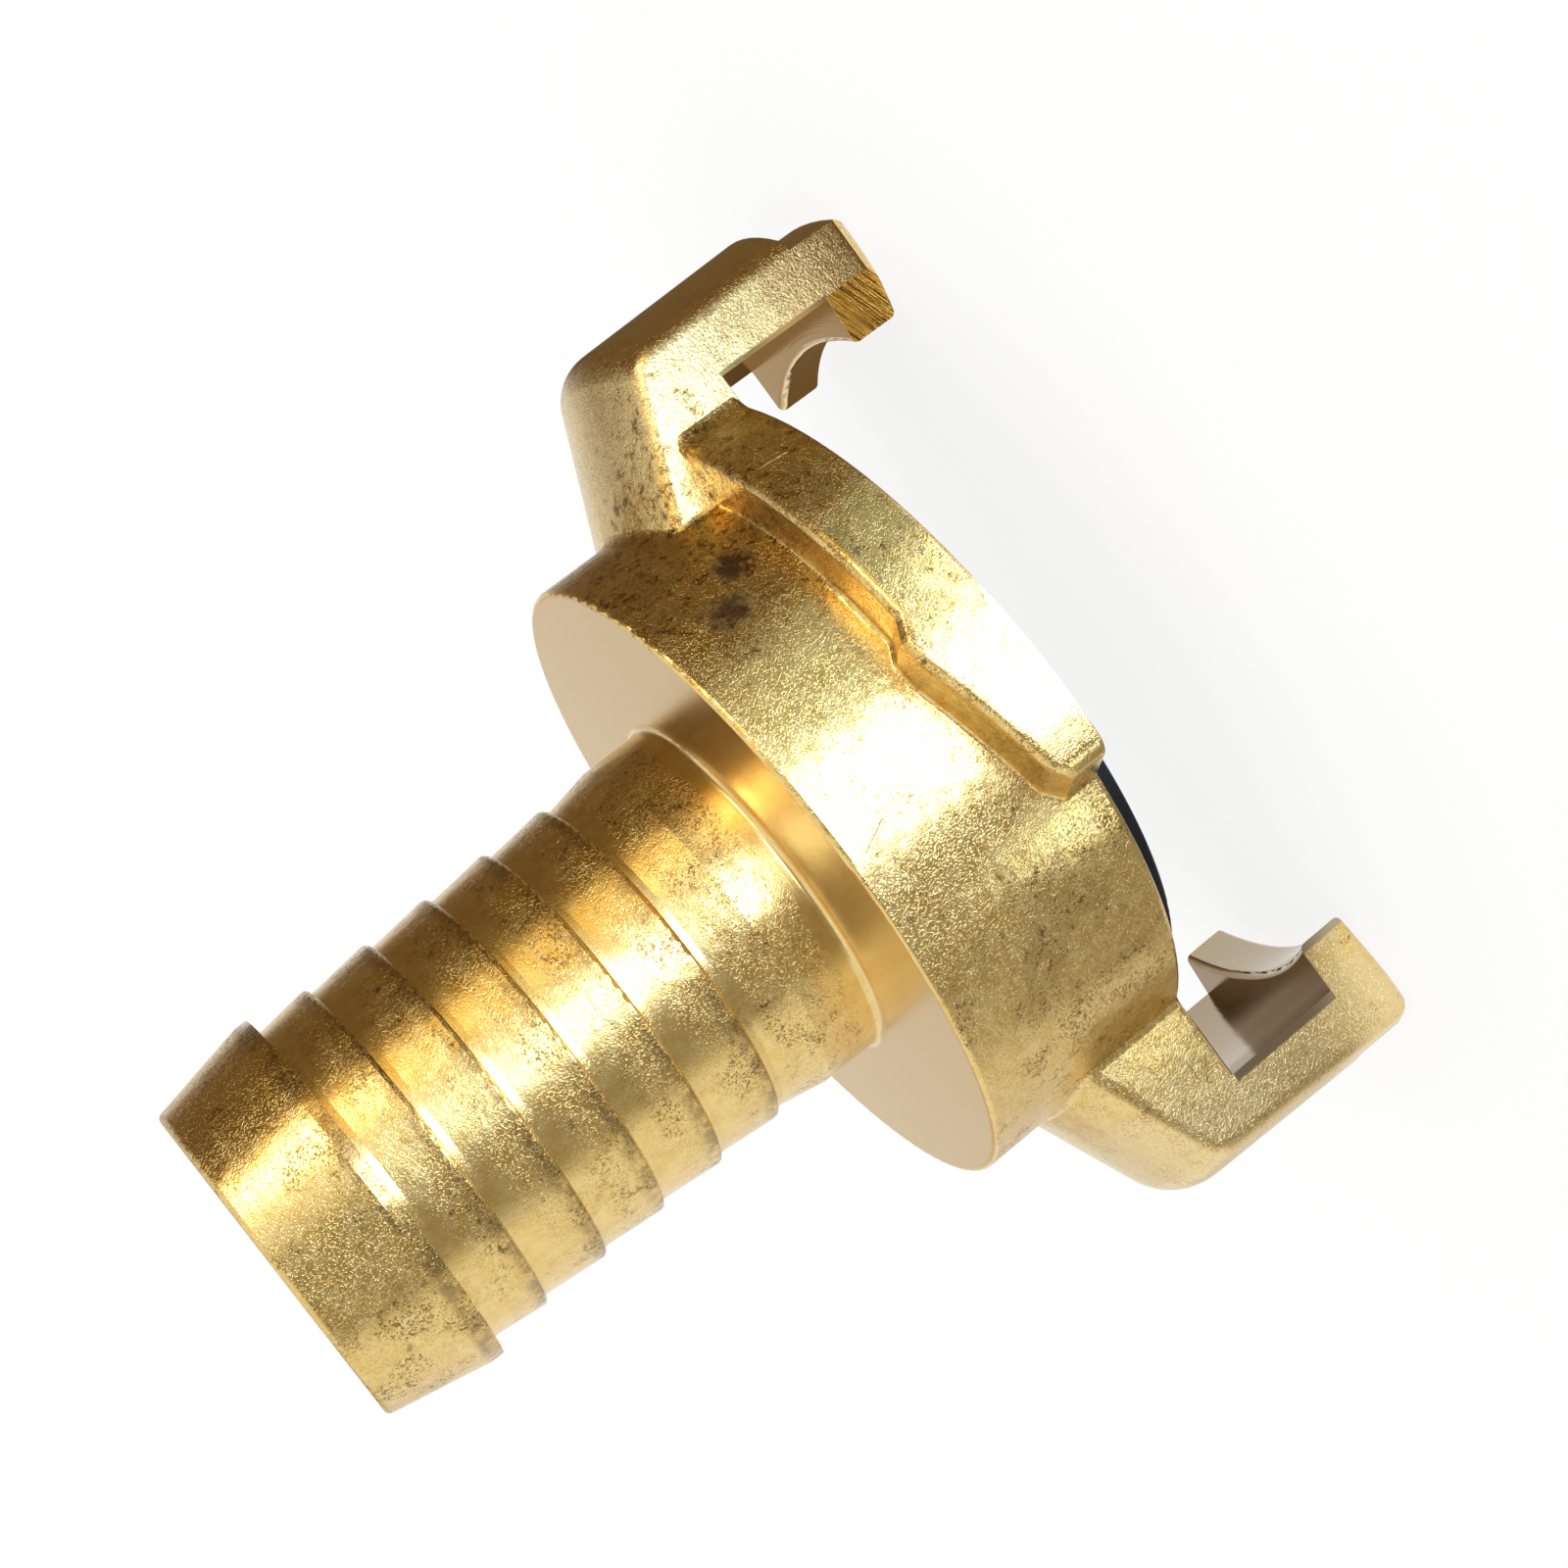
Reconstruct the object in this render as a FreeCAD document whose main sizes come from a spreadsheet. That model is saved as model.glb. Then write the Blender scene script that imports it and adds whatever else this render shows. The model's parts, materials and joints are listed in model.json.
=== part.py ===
import FreeCAD, Part
import math
import os
import re

import Sketcher
from FreeCAD import Vector

# Claw coupling with hose tail, for a 19 mm hose, with 40 mm between the noses of its claws.
# The coupling stands on its two claws: the claw tips lie on Z = 0, the hose tail points up along +Z, and
# the claws' middle plane is the XZ plane. Lengths are in millimetres, angles in degrees.

doc = FreeCAD.newDocument("ClawCoupling")
sheet = doc.addObject("Spreadsheet::Sheet", "Sizes")

# Each size is one row: its name, its value and what it measures.
SIZES = [
    # Heights along the axis, from the claw tips to the tail end
    ("hook_thickness", 3.27, "claw tip to the hook's clamping face"),
    ("slot_width", 6.62, "hook's clamping face to the head's front"),
    ("head_length", 12.06, "head's front to its turned back face"),
    # Head and claws
    ("head_diameter", 36.3, "head cylinder"),
    ("claw_diameter", 53.16, "over the backs of both claws, where they would meet Z = 0"),
    ("claw_flare", 1.74, "lean of the claws' outsides, wider towards the tips"),
    ("claw_arch_radius", 15.9, "arch of the claw's outside, from side to side"),
    ("forging_shift", 0.24, "forged claws off the turned axis, along X"),
    ("claw_width", 15.6, "across one claw"),
    ("nose_diameter", 40, "circle of the hooks' noses, the claw gauge"),
    ("front_shift", 0.1, "turned noses and slots off the tail's axis, along X"),
    ("nose_reach", 2.55, "how far a nose reaches in over its slot"),
    ("web_drop", 4.26, "head's back face down to the claw's sloping back, at the head"),
    ("web_slope", 23.5, "angle of the claw's sloping back"),
    ("web_crown_radius", 16.3, "arch of the sloping back, from side to side"),
    ("knee_radius", 2, "round between the claw's sloping back and its outside"),
    ("claw_edge_radius", 1, "long edges of the claw"),
    ("tip_turning", 0.95, "depth of the turning on the outside of the claw tips"),
    ("tip_shift", -0.15, "turned outsides of the claw tips off the tail's axis, along X"),
    ("tip_length", 3.3, "length of that turned outside, up to its shoulder"),
    ("tip_edge_radius", 0.9, "forged outer edge of the claw tip"),
    ("tip_bevel", 0.55, "bevel on the turned edge of the claw tip"),
    ("tip_land", 1.17, "width of the land that the claws stand on, with the bevel"),
    ("tip_relief", 0.6, "rise of the tip face from the land to the nose"),
    ("nose_edge_radius", 0.36, "rounds above and below the nose"),
    ("flank_start", 21.41, "axis to the start of the milled facet on one flank of the nose"),
    ("flank_run", 4.54, "length of the cutter's path inwards"),
    ("flank_angle", 12, "angle of that facet"),
    ("claw_root_radius", 0.54, "hollow where the claw leaves the head"),
    # Locking ridges on the head's rim
    ("ridge_depth", 3, "ridges, out from the head cylinder"),
    ("ridge_rest_height", 3.99, "head's front to the seat of the mating hook"),
    ("ridge_peak_height", 4.58, "head's front to the peak that the hook turns over"),
    ("ridge_end_height", 2.9, "head's front to the low end of the ramp"),
    ("ridge_end_drop", 0.9, "steeper drop at the ramp's end"),
    ("peak_azimuth", 71.5, "angle from the claw's middle plane to the peak"),
    ("detent_run", 1.09, "length of the step from peak to seat"),
    ("peak_length", 1.09, "flat top of the peak"),
    ("ridge_reach", 9.07, "peak to the ridge's end face"),
    ("cam_blend_radius", 0.73, "rounds between seat, step, peak and ramp"),
    ("ridge_end_radius", 1.27, "upright corner of the ridge's end"),
    ("ridge_edge_radius", 0.54, "outer edge of the ridge"),
    ("ridge_foot_radius", 0.27, "hollow along the ridge's foot"),
    ("ridge_root_radius", 1.6, "upright hollow between a ridge and the claw that it starts from"),
    ("ridge_root_lap", 0.1, "how far that hollow runs into the claw"),
    # Hose tail
    ("neck_diameter", 19.5, "plain neck at the root of the tail"),
    ("neck_length", 3.36, "plain neck"),
    ("neck_taper_length", 2.54, "neck's taper to the first groove"),
    ("barb_root_diameter", 18.5, "turned groove behind each barb"),
    ("relief_width", 0.41, "width of that groove"),
    ("barb_diameter", 19.2, "crest of each small barb"),
    ("barb_pitch", 3.6, "crest to crest of the small barbs"),
    ("barb_count", 5, "small barbs"),
    ("end_barb_pitch", 3.17, "last small crest to the end barb's crest"),
    ("end_barb_diameter", 20.2, "crest of the end barb"),
    ("end_barb_land", 0.65, "straight land on the end barb's crest"),
    ("end_barb_length", 6.03, "end barb's crest to the tail end"),
    ("tail_end_diameter", 17.9, "tail end"),
    ("neck_root_radius", 0.41, "hollow between neck and head"),
    ("barb_edge_radius", 0.23, "rounds on the small crests"),
    ("tail_edge_radius", 0.36, "round on the tail end"),
    ("head_edge_radius", 0.27, "round on the head's back edge"),
    ("front_edge_radius", 0.3, "round on the head's front edge"),
    # Waterway and seal seat
    ("waterway_diameter", 14.5, "bore through tail and head"),
    ("waterway_chamfer", 0.5, "bevel at both ends of the bore"),
    ("rim_wall", 1.65, "wall between the recess and the head cylinder"),
    ("seat_depth", 7.3, "depth of the recess"),
    ("groove_depth", 0.5, "undercut at the recess floor that holds the seal's bead"),
    ("groove_height", 1.8, "height of the undercut"),
    ("seat_chamfer", 0.3, "bevel at the recess mouth"),
    # Seal
    ("seal_clearance", 0.1, "gap between seal and recess, on the radius"),
    ("seal_protrusion", 1.3, "seal's front ahead of the head's front"),
    ("seal_edge_radius", 0.4, "round on the seal's front outer edge"),
    ("seal_bore_diameter", 19, "opening through the seal"),
    ("lip_diameter", 21.8, "inner edge of the sealing lip"),
    ("lip_height", 2.4, "sealing lip at its inner edge"),
    ("pocket_diameter", 25.8, "bottom of the pressure groove behind the lip"),
    ("pocket_height", 2, "width of the pressure groove at its mouth"),
]
for row, (name, amount, meaning) in enumerate(SIZES, start=1):
    sheet.set(f"A{row}", meaning)
    sheet.set(f"B{row}", str(amount))
    sheet.setAlias(f"B{row}", name)
doc.recompute()

# Heights that more than one piece uses
HOOK_BACK = "hook_thickness"
HEAD_FRONT = "(hook_thickness + slot_width)"
HEAD_BACK = "(hook_thickness + slot_width + head_length)"
FIRST_CREST = f"({HEAD_BACK} + neck_length + neck_taper_length + relief_width)"
END_CREST = f"({FIRST_CREST} + (barb_count - 1) * barb_pitch + end_barb_pitch)"
TAIL_END = f"({END_CREST} + end_barb_length)"
SEAT_FLOOR = f"({HEAD_FRONT} + seat_depth)"

TOLERANCE = 0.001


def bound(expression):
    """The expression with each size read from the sheet."""
    return re.sub(r"\b[a-z]+(_[a-z]+)+\b", lambda word: "Sizes." + word.group(), str(expression))


def size(expression):
    """The expression's value as the sheet stands now."""
    return float(sheet.evalExpression(bound(expression)))


def new_body(name, label):
    body = doc.addObject("PartDesign::Body", name)
    body.Label = label
    return body


def origin_plane(body, role):
    return next(item for item in body.Origin.OriginFeatures if item.Role == role)


def new_sketch(body, name, role):
    """An empty sketch on one of the body's own origin planes."""
    sketch = body.newObject("Sketcher::SketchObject", name)
    sketch.AttachmentSupport = [(origin_plane(body, role), "")]
    sketch.MapMode = "FlatFace"
    return sketch


def hold(sketch, line, point, across, up):
    """Tie a line's point to the sketch origin, at two sizes."""
    for kind, axis, expression in (("DistanceX", -2, across), ("DistanceY", -1, up)):
        if expression == 0:
            sketch.addConstraint(Sketcher.Constraint("PointOnObject", line, point, axis))
        else:
            tie = Sketcher.Constraint(kind, -1, 1, line, point, size(expression))
            sketch.setExpression(f"Constraints[{sketch.addConstraint(tie)}]", bound(expression))


def outline(sketch, corners):
    """A closed outline of straight lines through the corners."""
    places = [Vector(size(across), size(up), 0) for across, up in corners]
    first = sketch.GeometryCount
    lines = list(range(first, first + len(places)))
    for start, end in zip(places, places[1:] + places[:1]):
        sketch.addGeometry(Part.LineSegment(start, end))
    for line, following in zip(lines, lines[1:] + lines[:1]):
        sketch.addConstraint(Sketcher.Constraint("Coincident", line, 2, following, 1))
    for line, (across, up) in zip(lines, corners):
        hold(sketch, line, 1, across, up)


def circle(sketch, across, up, radius):
    """A full circle with its centre held at two sizes."""
    centre = Vector(size(across), size(up), 0)
    ring = sketch.addGeometry(Part.Circle(centre, Vector(0, 0, 1), size(radius)))
    hold(sketch, ring, 3, across, up)
    width = sketch.addConstraint(Sketcher.Constraint("Radius", ring, size(radius)))
    sketch.setExpression(f"Constraints[{width}]", bound(radius))


def turned(body, name, corners, cut=False, shift=None):
    """A full turn, added or cut, of an outline given as radius and height, with its axis off along X."""
    sketch = new_sketch(body, name + "_profile", "XZ_Plane")
    outline(sketch, corners)
    if shift:
        sketch.setExpression("AttachmentOffset.Base.x", bound(shift))
    feature = body.newObject("PartDesign::Groove" if cut else "PartDesign::Revolution", name)
    feature.Profile = sketch
    feature.ReferenceAxis = (sketch, ["V_Axis"])
    feature.Angle = 360
    doc.recompute()


def straight(body, name, sketch, depth, cut=False, flip=False, both=False):
    """A pad or a pocket of the sketch, as deep as given."""
    feature = body.newObject("PartDesign::Pocket" if cut else "PartDesign::Pad", name)
    feature.Profile = sketch
    feature.setExpression("Length", bound(depth))
    feature.Reversed = flip
    feature.Midplane = both
    doc.recompute()
    return feature


def fused(body, name, tool):
    """The other body joined on."""
    feature = body.newObject("PartDesign::Boolean", name)
    feature.setObjects([tool])
    feature.Type = "Fuse"
    doc.recompute()


def twice(body, name, feature):
    """The feature repeated on the other side of the coupling's axis."""
    pattern = body.newObject("PartDesign::PolarPattern", name)
    pattern.Originals = [feature]
    pattern.Axis = (origin_plane(body, "Z_Axis"), [""])
    pattern.Angle = 360
    pattern.Occurrences = 2
    body.Tip = pattern
    doc.recompute()


def points_of(edge):
    """The edge's ends and middle."""
    middle = edge.valueAt((edge.FirstParameter + edge.LastParameter) / 2)
    return [vertex.Point for vertex in edge.Vertexes] + [middle]


def rounded(body, name, wanted, radius):
    """A round of one radius on every wanted edge of the body as it stands."""
    base = body.Tip
    names = [f"Edge{number}" for number, edge in enumerate(base.Shape.Edges, start=1) if wanted(edge)]
    fillet = body.newObject("PartDesign::Fillet", name)
    fillet.Base = (base, names)
    fillet.setExpression("Radius", bound(radius))
    doc.recompute()


def near(number, other):
    return abs(number - other) < TOLERANCE


def reach(point):
    """Distance from the coupling's axis."""
    return math.hypot(point.x, point.y)


def on_radius(edge, expression):
    return all(near(reach(point), size(expression)) for point in points_of(edge))


def at_height(edge, expression):
    return all(near(point.z, size(expression)) for point in points_of(edge))


HEAD_RADIUS = "head_diameter / 2"
RIDGE_RADIUS = "(head_diameter / 2 + ridge_depth)"
SEAT_RADIUS = "(head_diameter / 2 - rim_wall)"
GROOVE_RADIUS = f"({SEAT_RADIUS} + groove_depth)"
UNDERCUT_RADIUS = "(nose_diameter / 2 + nose_reach)"
TIP_RADIUS = "(claw_diameter / 2 - tip_turning)"
ARCH_CENTRE = "(claw_diameter / 2 - claw_arch_radius)"
ARCH_SIDE = "(claw_width / 2 + claw_edge_radius)"

# Claws, before they are machined: one flat bar for both
claws = new_body("ClawBar", "claw_bar")
bar_outline = new_sketch(claws, "Bar_outline", "XY_Plane")
outline(bar_outline, [
    ("-claw_diameter", "-claw_width / 2"),
    ("claw_diameter", "-claw_width / 2"),
    ("claw_diameter", "claw_width / 2"),
    ("-claw_diameter", "claw_width / 2"),
])
straight(claws, "Claw_pad", bar_outline, f"{HEAD_BACK} - web_drop / 2")

# The outside of each claw is arched from side to side, and leans outwards towards the tip.
arch = new_sketch(claws, "Arch_section", "XY_Plane")
arch.AttachmentOffset = FreeCAD.Placement(Vector(), FreeCAD.Rotation(Vector(0, 1, 0), -size("claw_flare")))
arch_radius = size("claw_arch_radius")
arch_side = size(ARCH_SIDE)
arch_angle = math.asin(arch_side / arch_radius)
arch_end = size(ARCH_CENTRE) + arch_radius * math.cos(arch_angle)
arch_circle = Part.Circle(Vector(size(ARCH_CENTRE), 0, 0), Vector(0, 0, 1), arch_radius)
clear_of_bar = size("claw_diameter * 2")
arch.addGeometry(Part.LineSegment(Vector(clear_of_bar, -arch_side, 0), Vector(arch_end, -arch_side, 0)))
arch.addGeometry(Part.ArcOfCircle(arch_circle, -arch_angle, arch_angle))
arch.addGeometry(Part.LineSegment(Vector(arch_end, arch_side, 0), Vector(clear_of_bar, arch_side, 0)))
arch.addGeometry(Part.LineSegment(Vector(clear_of_bar, arch_side, 0), Vector(clear_of_bar, -arch_side, 0)))
for line, point, following, next_point in ((0, 2, 1, 1), (1, 2, 2, 1), (2, 2, 3, 1), (3, 2, 0, 1)):
    arch.addConstraint(Sketcher.Constraint("Coincident", line, point, following, next_point))
for line in (0, 2):
    arch.addConstraint(Sketcher.Constraint("Horizontal", line))
hold(arch, 1, 3, ARCH_CENTRE, 0)
arch_width = arch.addConstraint(Sketcher.Constraint("Radius", 1, arch_radius))
arch.setExpression(f"Constraints[{arch_width}]", bound("claw_arch_radius"))
hold(arch, 0, 1, "claw_diameter * 2", f"-{ARCH_SIDE}")
hold(arch, 3, 1, "claw_diameter * 2", ARCH_SIDE)
arch_cut = straight(claws, "Arch_cut", arch, "claw_diameter", cut=True, both=True)
twice(claws, "Arch_cuts", arch_cut)

# The sloping back of each claw is part of a cylinder that lies along the slope, and what stands outside
# it goes. The cut starts inside the head, half way out to its rim, where the forging is solid.
crown = new_sketch(claws, "Crown_section", "YZ_Plane")
crown.AttachmentOffset = FreeCAD.Placement(Vector(), FreeCAD.Rotation(Vector(1, 0, 0), size("web_slope")))
crown.setExpression("AttachmentOffset.Rotation.Angle", bound("web_slope"))
crown.setExpression("AttachmentOffset.Base.z", bound("head_diameter / 4"))
crown.setExpression("AttachmentOffset.Base.y",
                    bound(f"{HEAD_BACK} - web_drop + head_diameter / 4 * tan(web_slope)"))
circle(crown, 0, "-web_crown_radius", "web_crown_radius")
outline(crown, [
    ("-claw_diameter", "-claw_diameter"),
    ("claw_diameter", "-claw_diameter"),
    ("claw_diameter", "claw_diameter"),
    ("-claw_diameter", "claw_diameter"),
])
crown_cut = straight(claws, "Crown_cut", crown, "claw_diameter * 2", cut=True, flip=True)
twice(claws, "Crown_cuts", crown_cut)


def across_back(edge):
    """Whether an edge runs over a claw, from its middle or from one side to the other, outside the head."""
    crosswise = edge.BoundBox.YLength > edge.BoundBox.XLength
    return crosswise and all(abs(point.x) > size(HEAD_RADIUS) for point in points_of(edge))


def knee(edge):
    """Where the sloping back meets the outside."""
    return across_back(edge) and points_of(edge)[-1].z > size(HEAD_FRONT)


def long_edge(edge):
    """From the head over the knee down to the tip, on either side of a claw."""
    on_side = all(near(abs(point.y), size("claw_width / 2")) for point in points_of(edge))
    outside_head = abs(points_of(edge)[-1].x) > size(HEAD_RADIUS)
    return on_side and outside_head and not at_height(edge, 0)


def tip_edge(edge):
    return across_back(edge) and at_height(edge, 0)


rounded(claws, "Knees", knee, "knee_radius")
rounded(claws, "Long_edges", long_edge, "claw_edge_radius")
rounded(claws, "Tip_edges", tip_edge, "tip_edge_radius")
claws.setExpression("Placement.Base.x", bound("forging_shift"))

# Locking ridges: the cam outline, seen along the radius through its peak, runs from the claw's middle plane
# to the ridge's end: seat of the mating hook, step up to the peak, peak, ramp.
ridges = new_body("RidgeRing", "ridge_ring")
ring_core = new_sketch(ridges, "Ring_core", "XY_Plane")
ring_core.setExpression("AttachmentOffset.Base.z", bound(HEAD_FRONT))
circle(ring_core, 0, 0, HEAD_RADIUS)
straight(ridges, "Ring_core_pad", ring_core, "head_length - web_drop")

cam = new_sketch(ridges, "Cam_outline", "YZ_Plane")
peak_turn = FreeCAD.Rotation(Vector(0, 1, 0), -size("peak_azimuth"))
start_distance = size(f"{RIDGE_RADIUS} * cos(peak_azimuth)")
cam.AttachmentOffset = FreeCAD.Placement(peak_turn.multVec(Vector(0, 0, start_distance)), peak_turn)
outline(cam, [
    (RIDGE_RADIUS, HEAD_FRONT),
    (RIDGE_RADIUS, f"{HEAD_FRONT} + ridge_rest_height"),
    ("detent_run", f"{HEAD_FRONT} + ridge_rest_height"),
    (0, f"{HEAD_FRONT} + ridge_peak_height"),
    ("-peak_length", f"{HEAD_FRONT} + ridge_peak_height"),
    ("-ridge_reach + ridge_end_drop", f"{HEAD_FRONT} + ridge_end_height"),
    ("-ridge_reach", f"{HEAD_FRONT} + ridge_end_height - ridge_end_drop"),
    ("-ridge_reach", HEAD_FRONT),
])
ridge = straight(ridges, "Ridge", cam, RIDGE_RADIUS)
twice(ridges, "Ridge_pair", ridge)
rim = new_sketch(ridges, "Rim_ring", "XY_Plane")
circle(rim, 0, 0, RIDGE_RADIUS)
circle(rim, 0, 0, "claw_diameter")
straight(ridges, "Rim_cut", rim, TAIL_END, cut=True, flip=True)

# Where a ridge starts from a claw, an upright hollow joins the ridge's outer wall to the claw's side.
ROOT_SIDE = "(claw_width / 2 - ridge_root_lap)"
ROOT_REACH = f"({RIDGE_RADIUS} + ridge_root_radius)"
ROOT_ACROSS = f"sqrt({ROOT_REACH}^2 - ({ROOT_SIDE} + ridge_root_radius)^2)"
ROOT_ALONG = f"-({ROOT_SIDE} + ridge_root_radius)"
ROOT_TOUCH = f"({RIDGE_RADIUS} / {ROOT_REACH})"
root = new_sketch(ridges, "Root_section", "XY_Plane")
root.setExpression("AttachmentOffset.Base.z", bound(HEAD_FRONT))
root_corners = [
    (f"{ROOT_ACROSS} * {ROOT_TOUCH}", f"{ROOT_ALONG} * {ROOT_TOUCH}"),
    (ROOT_ACROSS, f"-{ROOT_SIDE}"),
    (f"{ROOT_ACROSS} - ridge_root_radius", "-claw_width / 4"),
    (f"{ROOT_ACROSS} * {HEAD_RADIUS} / {ROOT_REACH}", f"{ROOT_ALONG} * {HEAD_RADIUS} / {ROOT_REACH}"),
]
root_places = [Vector(size(across), size(up), 0) for across, up in root_corners]
root_centre = Vector(size(ROOT_ACROSS), size(ROOT_ALONG), 0)
touching = root_places[0] - root_centre
root_arc = Part.Circle(root_centre, Vector(0, 0, 1), size("ridge_root_radius"))
root.addGeometry(Part.ArcOfCircle(root_arc, math.pi / 2, math.atan2(touching.y, touching.x)))
for start, end in zip(root_places[1:], root_places[2:] + root_places[:1]):
    root.addGeometry(Part.LineSegment(start, end))
for line, point, following, next_point in ((0, 1, 1, 1), (1, 2, 2, 1), (2, 2, 3, 1), (3, 2, 0, 2)):
    root.addConstraint(Sketcher.Constraint("Coincident", line, point, following, next_point))
hold(root, 0, 3, ROOT_ACROSS, ROOT_ALONG)
for line, (across, up) in enumerate(root_corners[1:], start=1):
    hold(root, line, 1, across, up)
root_touch = root.addConstraint(Sketcher.Constraint("DistanceY", -1, 1, 3, 2, root_places[0].y))
root.setExpression(f"Constraints[{root_touch}]", bound(root_corners[0][1]))
root_pad = straight(ridges, "Ridge_root", root, "ridge_rest_height")
twice(ridges, "Ridge_roots", root_pad)

peak_angle = math.radians(size("peak_azimuth"))
peak_direction = Vector(math.cos(peak_angle), -math.sin(peak_angle), 0)


def clear_of_claw(edge):
    return abs(points_of(edge)[-1].y) > size("claw_width / 2")


def cam_corner(edge):
    """A radial edge between two faces of the cam."""
    start, end = edge.Vertexes[0].Point, edge.Vertexes[-1].Point
    radial = abs((end - start).dot(peak_direction)) > edge.Length - TOLERANCE
    heights = ("ridge_rest_height", "ridge_peak_height", "ridge_end_height")
    level = any(at_height(edge, f"{HEAD_FRONT} + {height}") for height in heights)
    return radial and level and clear_of_claw(edge)


def end_corner(edge):
    """The upright outer corner of the ridge's end."""
    shortest = size("ridge_end_height - ridge_end_drop") - TOLERANCE
    upright = shortest < edge.BoundBox.ZLength < size("ridge_rest_height") - TOLERANCE
    return on_radius(edge, RIDGE_RADIUS) and upright and clear_of_claw(edge)


def ridge_edge(edge):
    """The top edge of the ridge's outer wall and of its end face."""
    ends = [vertex.Point for vertex in edge.Vertexes]
    outside = all(reach(point) > size(f"{RIDGE_RADIUS} - ridge_end_radius") for point in ends)
    low = size(f"{HEAD_FRONT} + ridge_end_height - ridge_end_drop") - TOLERANCE
    on_top = min(point.z for point in points_of(edge)) > low
    end_face = at_height(edge, f"{HEAD_FRONT} + ridge_end_height - ridge_end_drop")
    return clear_of_claw(edge) and ((outside and on_top) or end_face)


def ridge_foot(edge):
    """Along the ridge's foot on the head cylinder."""
    lowest = min(point.z for point in points_of(edge))
    highest = max(point.z for point in points_of(edge))
    top = size(f"{HEAD_BACK} - web_drop") - TOLERANCE
    level = near(lowest, highest) and near(lowest, size(HEAD_FRONT))
    return on_radius(edge, HEAD_RADIUS) and clear_of_claw(edge) and highest < top and not level


rounded(ridges, "Cam_blends", cam_corner, "cam_blend_radius")
rounded(ridges, "Ridge_ends", end_corner, "ridge_end_radius")
rounded(ridges, "Ridge_edges", ridge_edge, "ridge_edge_radius")
rounded(ridges, "Ridge_feet", ridge_foot, "ridge_foot_radius")

# Forged body: head and tail in one turn, with the barbs as saw teeth that rise towards the head
body = new_body("CouplingBody", "coupling_body")
profile = [
    (0, HEAD_FRONT),
    (HEAD_RADIUS, HEAD_FRONT),
    (HEAD_RADIUS, HEAD_BACK),
    ("neck_diameter / 2", HEAD_BACK),
    ("neck_diameter / 2", f"{HEAD_BACK} + neck_length"),
    ("barb_root_diameter / 2", f"{FIRST_CREST} - relief_width"),
    ("barb_root_diameter / 2", FIRST_CREST),
]
small_barbs = round(size("barb_count"))
for barb in range(small_barbs):
    crest = f"{FIRST_CREST} + {barb} * barb_pitch"
    following = f"{crest} + barb_pitch" if barb < small_barbs - 1 else END_CREST
    profile += [
        ("barb_diameter / 2", crest),
        ("barb_root_diameter / 2", f"{following} - relief_width"),
        ("barb_root_diameter / 2", following),
    ]
profile += [
    ("end_barb_diameter / 2", END_CREST),
    ("end_barb_diameter / 2", f"{END_CREST} + end_barb_land"),
    ("tail_end_diameter / 2", TAIL_END),
    (0, TAIL_END),
]
turned(body, "Head_and_tail", profile)
rounded(body, "Barb_edges", lambda edge: on_radius(edge, "barb_diameter / 2"), "barb_edge_radius")
rounded(body, "Tail_edge", lambda edge: on_radius(edge, "tail_end_diameter / 2"), "tail_edge_radius")
rounded(body, "Neck_root",
        lambda edge: on_radius(edge, "neck_diameter / 2") and at_height(edge, HEAD_BACK), "neck_root_radius")
rounded(body, "Back_edge",
        lambda edge: on_radius(edge, HEAD_RADIUS) and at_height(edge, HEAD_BACK), "head_edge_radius")

fused(body, "Claws_joined", claws)
turned(body, "Front_turning", [
    (0, 0),
    (f"{TIP_RADIUS} - tip_land", 0),
    ("nose_diameter / 2", "tip_relief"),
    ("nose_diameter / 2", HOOK_BACK),
    (UNDERCUT_RADIUS, HOOK_BACK),
    (UNDERCUT_RADIUS, HEAD_FRONT),
    (0, HEAD_FRONT),
], cut=True, shift="front_shift")
turned(body, "Tip_turning", [
    (f"{TIP_RADIUS} - tip_bevel", 0),
    (TIP_RADIUS, "tip_bevel"),
    (TIP_RADIUS, "tip_length"),
    ("claw_diameter", "tip_length"),
    ("claw_diameter", 0),
], cut=True, shift="tip_shift")


def claw_root(edge):
    """Where a claw's sides and back leave the head cylinder."""
    beside_claw = all(abs(point.y) < size("claw_width / 2") + TOLERANCE for point in points_of(edge))
    seam = all(abs(point.y) < TOLERANCE for point in points_of(edge))
    return on_radius(edge, HEAD_RADIUS) and beside_claw and not seam and not at_height(edge, HEAD_FRONT)


def nose_edge(edge):
    """The turned edges above and below a nose."""
    above_or_below = at_height(edge, HOOK_BACK) or at_height(edge, "tip_relief")
    axis = Vector(size("front_shift"), 0, 0)
    on_nose = all(near(reach(point - axis), size("nose_diameter / 2")) for point in points_of(edge))
    return on_nose and above_or_below


rounded(body, "Claw_roots", claw_root, "claw_root_radius")
rounded(body, "Nose_edges", nose_edge, "nose_edge_radius")
flank = new_sketch(body, "Flank_outline", "XY_Plane")
outline(flank, [
    ("flank_start", "-claw_width"),
    ("flank_start", "-claw_width / 2"),
    ("flank_start - flank_run", "-claw_width / 2 + flank_run * tan(flank_angle)"),
    ("flank_start - flank_run", "-claw_width"),
])
flank_cut = straight(body, "Flank_cut", flank, HOOK_BACK, cut=True, flip=True)
twice(body, "Flank_cuts", flank_cut)
fused(body, "Ridges_joined", ridges)


def front_edge(edge):
    """The head's front edge between a ridge's end and the next claw."""
    return on_radius(edge, HEAD_RADIUS) and at_height(edge, HEAD_FRONT) and clear_of_claw(edge)


rounded(body, "Front_edges", front_edge, "front_edge_radius")

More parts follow.
